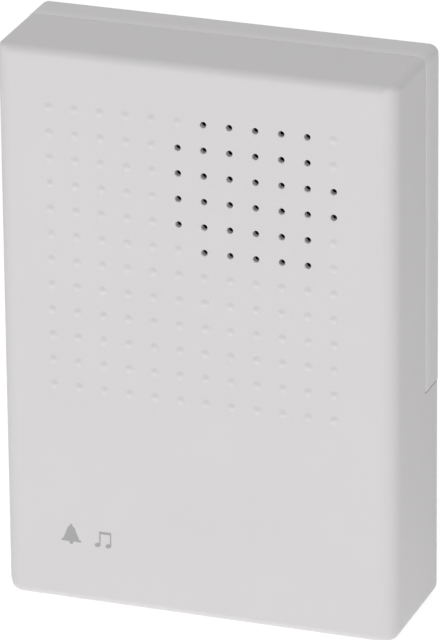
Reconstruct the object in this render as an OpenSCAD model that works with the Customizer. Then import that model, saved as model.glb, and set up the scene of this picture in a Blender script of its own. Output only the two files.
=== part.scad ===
// Doorbell chime box: a two-part plastic case with a dotted speaker field, a small loudspeaker, a melody
// board with screw terminals, and a bay for two round cells behind a pull-off rear door.
// Millimetres. The front looks along -Y, +Z is up, and the origin is the middle of the back, on the wall.

/* [Case] */
// Width of the front cover
case_w = 69; // [63:0.5:90]
// Height of the front cover
case_h = 98; // [89:0.5:130]
// Depth from the wall to the flat front
case_d = 22; // [21.5:0.1:30]
// Depth of the rear shell, from the wall to the parting line
rear_d = 6.7; // [6:0.1:8]
// Thickness of the front wall
front_wall = 2; // [1.4:0.1:2.2]
// Thickness of the side, top and bottom walls
side_wall = 1.8; // [1.2:0.1:2]
// Thickness of the back wall and of the door's back
back_wall = 2; // [1.4:0.1:2.2]
// Rounding of the two upright front edges
edge_side_r = 3; // [1:0.1:3]
// Rounding of the top and bottom front edges
edge_end_r = 1.5; // [0.8:0.1:2.5]
// Radius of the cover's two bottom corners, seen from the front
corner_r = 2.3; // [1:0.1:4]
// Radius of the cover's two top corners, seen from the front
top_corner_r = 1.4; // [1:0.1:4]
// How far the rear shell stands proud of the cover all round
rear_proud = 0.1; // [0:0.05:0.5]
// Corner radius of the rear shell and of the door panel
rear_corner_r = 1.6; // [0.5:0.1:3]
// Depth of the lip that lines the rear shell up inside the cover
lip_d = 1.6; // [0.8:0.1:3]
// Thickness of that lip
lip_t = 1; // [0.8:0.1:1.4]

/* [Dotted field] */
// Distance between neighbouring dots
dot_pitch = 4.45; // [3.5:0.05:4.6]
// Number of dots in each row and each column
dot_count = 12; // [6:1:12]
// Distance of the first row below the top edge
dot_top = 10; // [8:0.5:14]
// Sideways shift of the dotted field from the middle
dot_shift = -0.6; // [-2:0.1:2]
// Diameter of an open sound hole
hole_d = 1.1; // [0.8:0.05:1.6]
// Diameter of a raised pip
pip_d = 1.4; // [0.9:0.05:1.8]
// Height of a raised pip
pip_h = 0.3; // [0.1:0.05:0.4]
// Thickness of the front wall behind the open holes
grille_t = 1.2; // [0.8:0.1:1.3]
// Diameter of the round area in which the dots are open holes
sound_d = 30.2; // [20:0.2:31]

/* [Loudspeaker] */
// Loudspeaker diameter over its rim
speaker_d = 36; // [32:0.5:40]
// Loudspeaker centre to the right of the middle
speaker_x = 9.9; // [9.5:0.1:10.3]
// Room between the loudspeaker's rim and the top wall
speaker_room = 1.2; // [0.8:0.1:3]
// Sheet thickness of the speaker frame
frame_t = 0.6; // [0.4:0.1:0.8]
// Depth of the speaker frame
frame_d = 6.4; // [5:0.1:7.5]
// Magnet diameter
magnet_d = 22; // [18:0.5:24]
// Magnet thickness
magnet_t = 3.5; // [2:0.1:4]
// Pole plate and yoke thickness
pole_t = 1.2; // [0.8:0.1:1.4]
// Outer diameter of the voice coil
coil_d = 9.2; // [8:0.1:10]
// Thickness of the paper cone
cone_t = 0.35; // [0.25:0.05:0.5]
// Travel of the cone each way
cone_travel = 0.3; // [0.1:0.05:0.4]
// Thickness of the gasket under the rim
gasket_t = 0.6; // [0.4:0.1:1]

/* [Melody board] */
// Board width
board_w = 21; // [20.5:0.5:22]
// Board height
board_h = 27.5; // [27:0.5:29]
// Board thickness
board_t = 1.6; // [1:0.1:2]
// Height of the posts that carry the board
post_h = 4; // [2:0.1:4.2]
// Gap between the board and the left wall
board_edge = 3.2; // [2.5:0.1:3.6]
// Top edge of the board below the top edge of the case
board_top = 11; // [10:0.5:12]

/* [Cells] */
// Cell diameter
cell_d = 14.5; // [13:0.1:14.6]
// Cell length with its nub
cell_l = 50.5; // [44:0.5:56]
// Distance between the two cells' axes
cell_pitch = 15.2; // [15:0.1:15.6]
// Working length of a pressed contact spring
spring_l = 4.6; // [4:0.1:5.5]
// Wire diameter of a contact spring
spring_wire = 0.7; // [0.5:0.05:0.8]
// Thickness of the cell tray's walls
tray_wall = 1; // [0.8:0.1:1.2]

/* [Rear door] */
// Height of the seam, where the door ends, above the bottom of the case
door_h = 39.2; // [39:0.1:42]
// Width of the seam below the rear shell
door_gap = 0.35; // [0.3:0.05:0.6]
// Length of the tongues that guide the door
tongue_l = 8; // [6:0.5:10]

/* [Wall fixing] */
// Distance between the two keyholes
key_span = 36; // [30:1:46]
// Keyholes below the top edge
key_top = 12; // [11:0.5:14]
// Diameter of the keyhole's entry
key_d = 7.6; // [6:0.2:8]
// Width of the keyhole's slot
key_slot = 3.8; // [3:0.1:4]
// Length of the keyhole's slot above the entry
key_rise = 5; // [4:0.5:6]

/* [Hidden] */
$fn = 64;

// Finishes
white_plastic = [0.84, 0.835, 0.835];
zinc_steel = [0.72, 0.72, 0.7];
ferrite = [0.16, 0.16, 0.17];
paper = [0.2, 0.19, 0.18];
copper = [0.72, 0.42, 0.22];
phenolic = [0.55, 0.36, 0.16];
nickel = [0.78, 0.77, 0.72];
solder = [0.75, 0.75, 0.76];

// Clearances
fit_gap = 0.15;
move_gap = 0.3;
thread_gap = 0.05;
cut = 1;

// Main planes
front_y = -case_d;
inner_y = front_y + front_wall;
rim_y = -rear_d;
back_in_y = -back_wall;
half_w = case_w / 2;
half_h = case_h / 2;
in_x = half_w - side_wall;
in_z = half_h - side_wall;
seam_z = -half_h + door_h;
seam_low = seam_z - door_gap / 2;

// Speaker stations along Y, from the front wall backwards
speaker_r = speaker_d / 2;
speaker_z = in_z - speaker_room - speaker_r;
rim_front_y = inner_y + gasket_t;
rim_back_y = rim_front_y + frame_t;
frame_back_y = rim_front_y + frame_d;
plate_back_y = frame_back_y + pole_t;
magnet_back_y = plate_back_y + magnet_t;
rim_w = 2.4;
rim_in_r = speaker_r - rim_w;
pocket_in = 0.2;
pocket_r = rim_in_r - pocket_in;
coil_r = coil_d / 2;
coil_wall = 0.4;
coil_gap = 0.3;
gap_r = coil_r + coil_gap;
pole_r = coil_r - coil_wall - coil_gap;
plate_in = 1;
plate_r = magnet_d / 2 - plate_in;
floor_out = 1.2;
floor_r = magnet_d / 2 + floor_out;
cone_edge_gap = 0.7;
cone_r = rim_in_r - cone_travel - cone_edge_gap;
cone_front_gap = 0.1;
cone_y = rim_front_y + cone_travel + cone_front_gap;
neck_in = 2.2;
neck_y = frame_back_y - neck_in;
coil_l = 5;

// Speaker clamps: three screws with washers that hold the rim down
clamp_angles = [135, 235, 320];
clamp_out = 2.4;
clamp_r = speaker_r + clamp_out;
clamp_boss_r = 1.9;
washer_r = 3.2;
washer_t = 0.5;
small_screw_d = 2;
small_head_d = 3.6;
small_head_h = 1.3;
clamp_bite = 0.8;
board_bite = 2.6;
clamp_screw_l = washer_t + rim_back_y - inner_y + clamp_bite;
board_screw_l = board_t + board_bite;
screw_tip_gap = 0.1;
pilot_d = small_screw_d + 2 * thread_gap;
seat_ring_t = 1.2;
clamp_tip_y = rim_back_y + washer_t - clamp_screw_l;

// Board stations
board_y = inner_y + post_h;
parts_y = board_y + board_t;
board_z0 = half_h - board_top - board_h;
board_cx = -in_x + board_edge + board_w / 2;
board_hole_in = 2.4;
post_r = 2.2;
block_w = 10.2;
block_d = 8;
block_h = 9.4;
block_left = 2;
block_up = 5.4;
block_cx = board_cx - block_left;
block_cz = board_z0 + block_up;
block_pitch = 5.08;
well_d = 3.6;
well_depth = 4;
window_w = 13;
window_h = 10.6;
board_holes = [[board_cx - board_w / 2 + board_hole_in, board_z0 + board_h - board_hole_in],
    [board_cx + board_w / 2 - board_hole_in, board_z0 + board_hole_in]];

// Case screws
case_screw_d = 2.4;
case_hole_d = 2.8;
case_head_d = 4.8;
case_head_h = 1.8;
case_bore_d = 5.4;
case_boss_r = 3;
case_post_r = 3.4;
post_past = 0.2;
post_y = rim_y - lip_d - post_past;
head_sink = 1.6;
head_seat_y = back_in_y - head_sink;
case_screw_l = 11;
boss_in = side_wall + 2 * fit_gap + case_post_r;
low_boss_up = 5.8;
low_boss_z = seam_z + low_boss_up;
case_screws_at = [for (x = [-1, 1]) for (z = [half_h - boss_in, low_boss_z]) [x * (half_w - boss_in), z]];

// Cell tray
contact_t = 0.4;
cell_slack = 0.2;
nub_l = 1.4;
nub_d = 5.2;
tray_in_x = (cell_l + spring_l + 2 * contact_t + cell_slack) / 2;
tray_out_x = tray_in_x + tray_wall;
cell_gap = 0.15;
cell_side_gap = 0.45;
press_h = 0.6;
tongue_t = 1;
tongue_w = 10;
tongue_x = 20;
tongue_in = 0.5;
top_tongue_z = seam_low - tongue_in - tongue_t;
tray_back_y = back_in_y - move_gap;
cell_y = back_in_y - press_h - move_gap - cell_d / 2;
tray_floor_y = cell_y - cell_d / 2 - cell_gap;
tray_z0 = -in_z + 2 * move_gap + tongue_t + tray_wall;
lower_z = tray_z0 + cell_side_gap + cell_d / 2;
upper_z = lower_z + cell_pitch;
tray_z1 = upper_z + cell_d / 2 + cell_side_gap;
ledge_t = 1.7;
contact_w = 11;
contact_h = 12;
tab_w = 3;
tab_out = 0.9;
spring_turns = 3;
spring_r0 = 4.2;
spring_r1 = 2.7;
curl_rings = 8;
spring_sides = 6;

// Wires, each along a route of its own
wire_d = 1.1;
wire_sides = 8;
pad_in = 1.5;
pad_x = board_cx + board_w / 2 - pad_in;
solder_r = 1;
solder_h = 0.9;
under_y = (tray_floor_y - tray_wall + inner_y) / 2;
wire_x = tray_in_x - contact_t - thread_gap - wire_d / 2;
pad_up = [6.5, 10, 14, 21.5];
pad_z = [for (u = pad_up) board_z0 + u];
positive_route = [[wire_x, under_y, upper_z], [27, under_y, tray_z1 - 3], [26.8, under_y, tray_z1 + 2.4],
    [26, -17.8, tray_z1 + 4.2], [24, -14.8, tray_z1 + 5], [16, -12.8, tray_z1 + 6],
    [6, -12.2, tray_z1 + 8], [-3, -11.6, board_z0 - 10.5], [-7.8, -11, board_z0 - 2.5],
    [-9.8, -11, board_z0 + 4.5], [pad_x, -12, pad_z[0]], [pad_x, parts_y, pad_z[0]]];
negative_route = [[wire_x, under_y, lower_z], [26.6, under_y, lower_z + 3.9],
    [24.8, under_y, lower_z + 8.9], [24.6, under_y, tray_z1 - 2], [24.4, under_y, tray_z1 + 2.4],
    [23, -18, tray_z1 + 4.2], [20, -16, tray_z1 + 6.4], [12, -14.9, tray_z1 + 9],
    [2, -14, board_z0 - 11.5], [-4, -12.8, board_z0 - 5.5], [-7, -11.2, board_z0 + 2.5],
    [-9, -11, board_z0 + 8.1], [pad_x, -12, pad_z[1]], [pad_x, parts_y, pad_z[1]]];
speaker_route_a = [[pad_x, parts_y, pad_z[2]], [pad_x, -12, pad_z[2]], [-9.4, -10.8, speaker_z - 3.2],
    [-7.6, -10.4, speaker_z - 2.6], [-6, -10.8, speaker_z - 2], [-4.4, -11, speaker_z - 2]];
speaker_route_b = [[pad_x, parts_y, pad_z[3]], [pad_x, -12, pad_z[3]], [-9.4, -10.8, speaker_z + 3.7],
    [-7.6, -10.4, speaker_z + 2.7], [-6, -10.8, speaker_z + 2], [-4.4, -11, speaker_z + 2]];

// Box between two opposite corners
module block(low, high) {
    translate(low) cube(high - low);
}

// Round bar along Y
module bar(d, y0, y1) {
    translate([0, y0, 0]) rotate([-90, 0, 0]) cylinder(d = d, h = y1 - y0);
}

// Shape turned about a line along Y, from a profile of radius and depth
module turned() {
    rotate([-90, 0, 0]) rotate_extrude() children();
}

// Front outline pulled along Y
module pulled(y0, y1) {
    translate([0, y1, 0]) rotate([90, 0, 0]) linear_extrude(y1 - y0) children();
}

// Rectangle with round corners
module round_rect(w, h, r) {
    square([w - 2 * r, h], center = true);
    square([w, h - 2 * r], center = true);
    for (x = [-1, 1]) for (y = [-1, 1]) translate([x * (w / 2 - r), y * (h / 2 - r)]) circle(r);
}

// Bar section with its two front corners rounded: half width a, from depth 0 to depth d
module nosed(a, d, r) {
    translate([-a, r]) square([2 * a, d - r]);
    translate([-a + r, 0]) square([2 * (a - r), d]);
    for (s = [-1, 1]) translate([s * (a - r), r]) circle(r);
}

// Screw with a flat cross-slotted head: the head's seat lies at depth 0 and the shank runs forwards
module screw(d, length, head_d, head_h) {
    slot_w = head_d * 0.18;
    slot_l = head_d * 0.66;
    slot_d = head_h * 0.6;
    difference() {
        union() {
            bar(head_d, 0, head_h);
            bar(d, -length, 0);
        }
        for (a = [0, 90]) rotate([0, a, 0])
            block([-slot_l / 2, head_h - slot_d, -slot_w / 2], [slot_l / 2, head_h + cut, slot_w / 2]);
    }
}

// Tube swept along a row of points
function unit(v) = v / norm(v);
function heading(p, i) = unit(p[min(i + 1, len(p) - 1)] - p[max(i - 1, 0)]);
lean = [0.31, 0.47, 0.83];
function across(t) = unit(cross(t, lean));
function ring(p, i, r, sides) = let (t = heading(p, i), u = across(t), v = cross(t, u))
    [for (k = [0 : sides - 1]) p[i] + r * (cos(360 * k / sides) * u + sin(360 * k / sides) * v)];
module tube(p, d, sides) {
    n = len(p);
    walls = [for (i = [0 : n - 2]) for (k = [0 : sides - 1])
        let (a = i * sides + k, b = i * sides + (k + 1) % sides)
        each [[a, a + sides, b], [b, a + sides, b + sides]]];
    start = [for (k = [1 : sides - 2]) [0, k, k + 1]];
    last = (n - 1) * sides;
    finish = [for (k = [1 : sides - 2]) [last, last + k + 1, last + k]];
    polyhedron([for (i = [0 : n - 1]) each ring(p, i, d / 2, sides)], concat(walls, start, finish));
}

// Tapered contact spring: one unbroken wire from its wide foot to its narrow end
function curl(i) = let (f = i / (spring_turns * curl_rings), a = 360 * i / curl_rings,
    r = spring_r0 + (spring_r1 - spring_r0) * f)
    [spring_wire / 2 + (spring_l - spring_wire) * f, r * cos(a), r * sin(a)];
spring_points = [for (i = [0 : spring_turns * curl_rings]) curl(i)];
spring_last = len(spring_points) - 1;
spring_gap = min([for (i = [0 : spring_last]) for (j = [i + curl_rings / 2 : spring_last])
    norm(spring_points[i] - spring_points[j])]) - spring_wire;
echo(spring_gap = spring_gap);

module at_speaker() {
    translate([speaker_x, 0, speaker_z]) children();
}

module at_clamps() {
    for (a = clamp_angles) at_speaker() translate([clamp_r * cos(a), 0, clamp_r * sin(a)]) children();
}

module at_case_screws() {
    for (p = case_screws_at) translate([p[0], 0, p[1]]) children();
}

module at_board_holes() {
    for (p = board_holes) translate([p[0], 0, p[1]]) children();
}

// Dots of the front: open over the loudspeaker, raised elsewhere
dot_steps = [for (i = [0 : dot_count - 1]) i - (dot_count - 1) / 2];
dots = [for (i = dot_steps) for (j = [0 : dot_count - 1])
    [dot_shift + i * dot_pitch, half_h - dot_top - j * dot_pitch]];
function open_dot(p) = norm(p - [speaker_x, speaker_z]) < sound_d / 2;
pip_r = (pip_d * pip_d / 4 + pip_h * pip_h) / (2 * pip_h);

// Outline of the cover from the front
module cover_outline() {
    translate([-half_w, corner_r - half_h]) square([case_w, case_h - corner_r - top_corner_r]);
    translate([corner_r - half_w, -half_h]) square([case_w - 2 * corner_r, half_h]);
    translate([top_corner_r - half_w, 0]) square([case_w - 2 * top_corner_r, half_h]);
    for (s = [-1, 1]) {
        translate([s * (half_w - corner_r), corner_r - half_h]) circle(corner_r);
        translate([s * (half_w - top_corner_r), half_h - top_corner_r]) circle(top_corner_r);
    }
}

// Outer form of the cover: as deep as the whole case below the seam, up to the parting line above it
module cover_body() {
    difference() {
        intersection() {
            pulled(front_y, 0) cover_outline();
            translate([0, front_y, -half_h]) linear_extrude(case_h) nosed(half_w, case_d, edge_side_r);
            translate([-half_w, front_y, 0]) rotate([90, 0, 90]) linear_extrude(case_w)
                rotate([0, 0, -90]) nosed(half_h, case_d, edge_end_r);
        }
        block([-case_w, rim_y, seam_low], [case_w, cut, case_h]);
    }
}

module front_cover() {
    least_r = 0.5;
    cover_inner_r = max(corner_r - side_wall, least_r);
    color(white_plastic) difference() {
        union() {
            difference() {
                cover_body();
                pulled(inner_y, cut) round_rect(2 * in_x, 2 * in_z, cover_inner_r);
            }
            for (p = dots) if (!open_dot(p))
                translate([p[0], front_y - pip_h + pip_r, p[1]]) sphere(pip_r);
            at_case_screws() bar(2 * case_boss_r, inner_y - cut / 2, post_y);
            at_board_holes() bar(2 * post_r, inner_y - cut / 2, board_y);
            at_clamps() bar(2 * clamp_boss_r, inner_y - cut / 2, rim_back_y);
            at_speaker() difference() {
                bar(speaker_d + 2 * (fit_gap + seat_ring_t), inner_y - cut / 2, rim_back_y - fit_gap);
                bar(speaker_d + 2 * fit_gap, inner_y, rim_back_y);
            }
        }
        at_speaker() bar(2 * pocket_r, front_y + grille_t, inner_y + cut);
        for (p = dots) if (open_dot(p))
            translate([p[0], 0, p[1]]) bar(hole_d, front_y - cut, inner_y + cut);
        at_case_screws() bar(case_screw_d + 2 * thread_gap, head_seat_y - case_screw_l - cut, post_y + cut);
        at_board_holes() bar(pilot_d, parts_y - board_screw_l - screw_tip_gap, board_y + cut);
        at_clamps() bar(pilot_d, clamp_tip_y - screw_tip_gap, rim_back_y + cut);
    }
}

module keyhole() {
    bar(key_d, back_in_y - cut, cut);
    translate([0, 0, key_d / 2 + key_rise - key_slot / 2]) bar(key_slot, back_in_y - cut, cut);
    block([-key_slot / 2, back_in_y - cut, 0], [key_slot / 2, cut, key_d / 2 + key_rise - key_slot / 2]);
}

// Tray that the two cells lie in, reached through the rear door
module cell_tray() {
    rib_w = 2;
    rib_h = 2.4;
    rib_in = 3;
    mid_z = (lower_z + upper_z) / 2;
    difference() {
        block([-tray_out_x, tray_floor_y - tray_wall, tray_z0 - tray_wall],
            [tray_out_x, tray_back_y, tray_z1 + tray_wall]);
        block([-tray_in_x, tray_floor_y, tray_z0], [tray_in_x, tray_back_y + cut, tray_z1]);
        for (z = [lower_z, upper_z]) translate([tray_in_x, tray_floor_y, z])
            block([-contact_t - fit_gap, -tray_wall - cut, -tab_w / 2 - fit_gap],
                [fit_gap, cut, tab_w / 2 + fit_gap]);
    }
    block([-tray_in_x + rib_in, tray_floor_y - tray_wall / 2, mid_z - rib_w / 2],
        [tray_in_x - rib_in, tray_floor_y + rib_h, mid_z + rib_w / 2]);
}

module rear_shell() {
    shell_w = case_w + 2 * rear_proud;
    shell_h = case_h + 2 * rear_proud;
    shell_z0 = seam_z + door_gap / 2;
    lip_x = in_x - fit_gap;
    lip_z = in_z - fit_gap;
    root = side_wall / 2;
    ledge_z = shell_z0 + ledge_t;
    ledge_y = tray_back_y - ledge_t;
    color(white_plastic) difference() {
        union() {
            difference() {
                intersection() {
                    pulled(rim_y, 0) round_rect(shell_w, shell_h, rear_corner_r);
                    block([-case_w, rim_y, shell_z0], [case_w, 0, case_h]);
                }
                block([-in_x, rim_y - cut, shell_z0 - cut], [in_x, back_in_y, in_z]);
            }
            difference() {
                union() {
                    block([-lip_x, rim_y - lip_d, shell_z0], [lip_x, rim_y + lip_d, lip_z]);
                    block([-in_x - root, rim_y, shell_z0], [in_x + root, rim_y + lip_d, in_z + root]);
                }
                block([-lip_x + lip_t, rim_y - lip_d - cut, shell_z0 - cut],
                    [lip_x - lip_t, rim_y + lip_d + cut, lip_z - lip_t]);
            }
            at_case_screws() bar(2 * case_post_r, post_y, back_in_y + cut / 2);
            block([-tray_out_x, ledge_y, tray_z1], [tray_out_x, tray_back_y, ledge_z]);
            block([-tray_out_x, ledge_y, shell_z0], [tray_out_x, -back_wall / 2, ledge_z]);
            cell_tray();
        }
        at_case_screws() bar(case_bore_d, head_seat_y, cut);
        at_case_screws() bar(case_hole_d, post_y - cut, head_seat_y + cut);
        for (x = [-1, 1]) translate([x * key_span / 2, 0, half_h - key_top]) keyhole();
        translate([block_cx, 0, block_cz])
            block([-window_w / 2, back_in_y - cut, -window_h / 2], [window_w / 2, cut, window_h / 2]);
        for (x = [-1, 1]) translate([x * tongue_x, 0, top_tongue_z])
            block([-tongue_w / 2 - move_gap, ledge_y - cut, -move_gap],
                [tongue_w / 2 + move_gap, tray_back_y + cut / 4, tongue_t + move_gap]);
    }
}

// Rear door: a flat panel set into the open back of the cover, with four guide tongues and two ribs
module battery_door() {
    door_x = in_x - move_gap;
    door_z0 = -in_z + move_gap;
    tongue_y = rim_y + back_wall - tongue_l;
    root_y = back_in_y + back_wall / 2;
    press_w = 2;
    press_x = 14;
    grip_w = 26;
    grip_h = 8;
    grip_d = 0.8;
    grip_low = 12;
    ridge_t = 0.8;
    ridge_step = 2;
    grip_z = seam_low - grip_low;
    color(white_plastic) {
        difference() {
            union() {
                intersection() {
                    pulled(back_in_y, 0) round_rect(2 * door_x, -2 * door_z0, rear_corner_r);
                    block([-case_w, back_in_y, door_z0], [case_w, 0, seam_low]);
                }
                for (s = [-1, 1]) {
                    for (z = [door_z0, top_tongue_z]) translate([s * tongue_x, 0, z])
                        block([-tongue_w / 2, tongue_y, 0], [tongue_w / 2, root_y, tongue_t]);
                    translate([s * press_x, 0, 0])
                        block([-press_w / 2, back_in_y - press_h, tray_z0 + cut],
                            [press_w / 2, root_y, tray_z1 - cut]);
                }
            }
            block([-grip_w / 2, -grip_d, grip_z - grip_h / 2], [grip_w / 2, cut, grip_z + grip_h / 2]);
        }
        for (k = [-1 : 1])
            block([-grip_w / 2, -grip_d - ridge_t / 4, grip_z + k * ridge_step - ridge_t / 2],
                [grip_w / 2, -grip_d + ridge_t / 2, grip_z + k * ridge_step + ridge_t / 2]);
    }
}

module case_screws() {
    color(zinc_steel) at_case_screws() translate([0, head_seat_y, 0])
        screw(case_screw_d, case_screw_l, case_head_d, case_head_h);
}

module speaker_gasket() {
    color([0.12, 0.12, 0.12]) at_speaker() difference() {
        bar(speaker_d, inner_y, rim_front_y);
        bar(2 * rim_in_r, inner_y - cut, rim_front_y + cut);
    }
}

// Pressed steel basket with four windows in its sloping wall
module speaker_frame() {
    slot_w = 7;
    slot_in = 3;
    slot_rise = 1.2;
    slot_r = (rim_in_r + floor_r) / 2 - slot_in;
    color(zinc_steel) at_speaker() difference() {
        turned() polygon([[speaker_r, rim_front_y], [speaker_r, rim_back_y],
            [rim_in_r + frame_t, rim_back_y], [floor_r, frame_back_y], [gap_r, frame_back_y],
            [gap_r, frame_back_y - frame_t],
            [floor_r - frame_t / 2, frame_back_y - frame_t], [rim_in_r, rim_front_y]]);
        for (a = [45 : 90 : 315]) rotate([0, a, 0])
            block([slot_r, rim_back_y + slot_rise, -slot_w / 2],
                [speaker_r, frame_back_y - frame_t - slot_rise / 2, slot_w / 2]);
    }
}

module speaker_top_plate() {
    color(zinc_steel) at_speaker() difference() {
        bar(2 * plate_r, frame_back_y, plate_back_y);
        bar(2 * gap_r, frame_back_y - cut, plate_back_y + cut);
    }
}

module speaker_magnet() {
    bore_gap = 1.4;
    bore_r = coil_r + bore_gap;
    color(ferrite) at_speaker() difference() {
        bar(magnet_d, plate_back_y, magnet_back_y);
        bar(2 * bore_r, plate_back_y - cut, magnet_back_y + cut);
    }
}

module speaker_yoke() {
    color(zinc_steel) at_speaker() union() {
        bar(2 * plate_r, magnet_back_y, magnet_back_y + pole_t);
        bar(2 * pole_r, frame_back_y - frame_t, magnet_back_y + pole_t / 2);
    }
}

// Paper cone with a flat edge and a domed cap over the coil
module diaphragm() {
    edge_w = 1.2;
    neck_out = 0.4;
    neck_r = coil_r + neck_out;
    cap_h = 1.3;
    cap_r = (neck_r * neck_r + cap_h * cap_h) / (2 * cap_h);
    cap_a = asin(neck_r / cap_r);
    steps = 6;
    front = [for (i = [0 : steps]) let (a = cap_a * i / steps)
        [cap_r * sin(a), neck_y - cone_t - cap_h + cap_r * (1 - cos(a))]];
    color(paper) at_speaker() turned() polygon(concat(front, [[cone_r - edge_w, cone_y], [cone_r, cone_y],
        [cone_r, cone_y + cone_t], [cone_r - edge_w - cone_t / 2, cone_y + cone_t], [neck_r, neck_y],
        [coil_r - coil_wall, neck_y], [0, neck_y - cap_h + cone_t]]));
}

module voice_coil() {
    color(copper) at_speaker() difference() {
        bar(2 * coil_r, neck_y, neck_y + coil_l);
        bar(2 * (coil_r - coil_wall), neck_y - cut, neck_y + coil_l + cut);
    }
}

// Small terminal board on the left of the basket, with two solder lugs
tag_t = 1;
tag_back_y = frame_back_y + tag_t;
tag_w = 4;
tag_in = plate_r + 2 * fit_gap;
tag_out = tag_in + tag_w;
tag_h = 7;
lug_t = 0.4;
lug_w = 1.4;
lug_out = 2;
lug_in = 1;
lug_at = [-2, 2];

module speaker_tag_board() {
    color(phenolic) at_speaker()
        block([-tag_out, frame_back_y, -tag_h / 2], [-tag_in, tag_back_y, tag_h / 2]);
}

module speaker_tags() {
    color(nickel) at_speaker() for (z = lug_at)
        block([-tag_out - lug_out, tag_back_y, z - lug_w / 2],
            [-tag_in - lug_in, tag_back_y + lug_t, z + lug_w / 2]);
}

module clamp_washers() {
    color(zinc_steel) at_clamps() difference() {
        bar(2 * washer_r, rim_back_y, rim_back_y + washer_t);
        bar(small_screw_d + 2 * fit_gap, rim_back_y - cut, rim_back_y + washer_t + cut);
    }
}

module clamp_screws() {
    color(zinc_steel) at_clamps() translate([0, rim_back_y + washer_t, 0])
        screw(small_screw_d, clamp_screw_l, small_head_d, small_head_h);
}

module circuit_board() {
    color(phenolic) difference() {
        block([board_cx - board_w / 2, board_y, board_z0],
            [board_cx + board_w / 2, parts_y, board_z0 + board_h]);
        at_board_holes() bar(small_screw_d + 2 * fit_gap, board_y - cut, parts_y + cut);
    }
}

module board_screws() {
    color(zinc_steel) at_board_holes() translate([0, parts_y, 0])
        screw(small_screw_d, board_screw_l, small_head_d, small_head_h);
}

// Black resin drop over the melody chip
module melody_chip() {
    drop_r = 4.4;
    drop_h = 1.5;
    ball_r = (drop_r * drop_r + drop_h * drop_h) / (2 * drop_h);
    left = 1;
    up = 17.2;
    color([0.05, 0.05, 0.05]) translate([board_cx - left, parts_y, board_z0 + up]) turned() intersection() {
        translate([0, drop_h - ball_r]) circle(ball_r);
        square([drop_r + cut, drop_h + cut]);
    }
}

// Transistor with a flat front on three legs
module driver_transistor() {
    body_d = 4.8;
    body_h = 4.6;
    leg_h = 2;
    leg_w = 0.5;
    leg_pitch = 1.27;
    flat_in = 1.3;
    left = 1.5;
    up = 24.4;
    color([0.08, 0.08, 0.08]) translate([board_cx - left, parts_y, board_z0 + up]) {
        intersection() {
            bar(body_d, leg_h, leg_h + body_h);
            block([-body_d, 0, -flat_in], [body_d, leg_h + body_h + cut, body_d]);
        }
        for (k = [-1 : 1]) translate([k * leg_pitch, 0, 0])
            block([-leg_w / 2, 0, -leg_w / 2], [leg_w / 2, leg_h + cut, leg_w / 2]);
    }
}

module electrolytic_capacitor() {
    can_d = 5;
    can_h = 8;
    groove_y = 1.6;
    groove_d = 0.3;
    right = 4.4;
    up = 23.6;
    color([0.1, 0.13, 0.25]) translate([board_cx + right, parts_y, board_z0 + up]) turned()
        polygon([[0, 0], [can_d / 2, 0], [can_d / 2, groove_y], [can_d / 2 - groove_d, groove_y + groove_d],
            [can_d / 2, groove_y + 2 * groove_d], [can_d / 2, can_h - groove_d],
            [can_d / 2 - groove_d, can_h], [0, can_h]]);
}

// Resistors lying along the board on their own bent leads
module resistors() {
    body_l = 6;
    body_d = 2.2;
    waist_d = 1.8;
    lead_d = 0.6;
    lead_x = 4.2;
    axis_y = 1.6;
    cap_l = 1.6;
    columns = [-5.7, 3.6];
    up = 11.2;
    color([0.75, 0.62, 0.42]) for (x = columns) translate([board_cx + x, parts_y + axis_y, board_z0 + up]) {
        rotate([0, 90, 0]) cylinder(d = waist_d, h = body_l, center = true);
        for (s = [-1, 1]) {
            translate([s * (body_l - cap_l) / 2, 0, 0]) rotate([0, 90, 0])
                cylinder(d = body_d, h = cap_l, center = true);
            translate([s * (lead_x + body_l / 2 - lead_d) / 2, 0, 0]) rotate([0, 90, 0])
                cylinder(d = lead_d, h = lead_x - body_l / 2 + lead_d, center = true);
            translate([s * lead_x, 0, 0]) bar(lead_d, -axis_y, lead_d / 2);
        }
    }
}

module ceramic_capacitors() {
    disc_d = 4;
    disc_t = 1.7;
    lift = 0.8;
    leg_d = 0.5;
    leg_z = 1.2;
    columns = [-7.6, 4.6];
    up = 17;
    color([0.72, 0.45, 0.18]) for (x = columns)
        translate([board_cx + x, parts_y + lift + disc_d / 2, board_z0 + up]) {
            rotate([0, 90, 0]) cylinder(d = disc_d, h = disc_t, center = true);
            for (s = [-1, 1]) translate([0, 0, s * leg_z]) bar(leg_d, -lift - disc_d / 2, 0);
        }
}

// Two-way screw terminal for the bell-push wires
module terminal_block() {
    entry_w = 3;
    entry_h = 3;
    entry_y = 2.6;
    color([0.12, 0.34, 0.22]) translate([block_cx, parts_y, block_cz]) difference() {
        block([-block_w / 2, 0, -block_d / 2], [block_w / 2, block_h, block_d / 2]);
        for (s = [-1, 1]) translate([s * block_pitch / 2, 0, 0]) {
            bar(well_d, block_h - well_depth, block_h + cut);
            block([-entry_w / 2, entry_y, -block_d / 2 - cut],
                [entry_w / 2, entry_y + entry_h, block_d / 4]);
        }
    }
}

module terminal_screws() {
    screw_h = 1.6;
    screw_d = well_d - 2 * fit_gap;
    slot_w = 0.7;
    color(nickel) for (s = [-1, 1])
        translate([block_cx + s * block_pitch / 2, parts_y + block_h - well_depth, block_cz]) difference() {
            bar(screw_d, 0, screw_h);
            block([-screw_d, screw_h / 2, -slot_w / 2], [screw_d, screw_h + cut, slot_w / 2]);
        }
}

// Round cell lying along X, its nub towards +X
module cell() {
    edge = 0.5;
    body_l = cell_l - nub_l;
    rotate([0, 90, 0]) rotate_extrude() polygon([[0, 0], [cell_d / 2 - edge, 0], [cell_d / 2, edge],
        [cell_d / 2, body_l - edge], [cell_d / 2 - edge, body_l], [nub_d / 2, body_l], [nub_d / 2, cell_l],
        [0, cell_l]]);
}

cell_end = tray_in_x - contact_t - cell_slack / 2;

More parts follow.
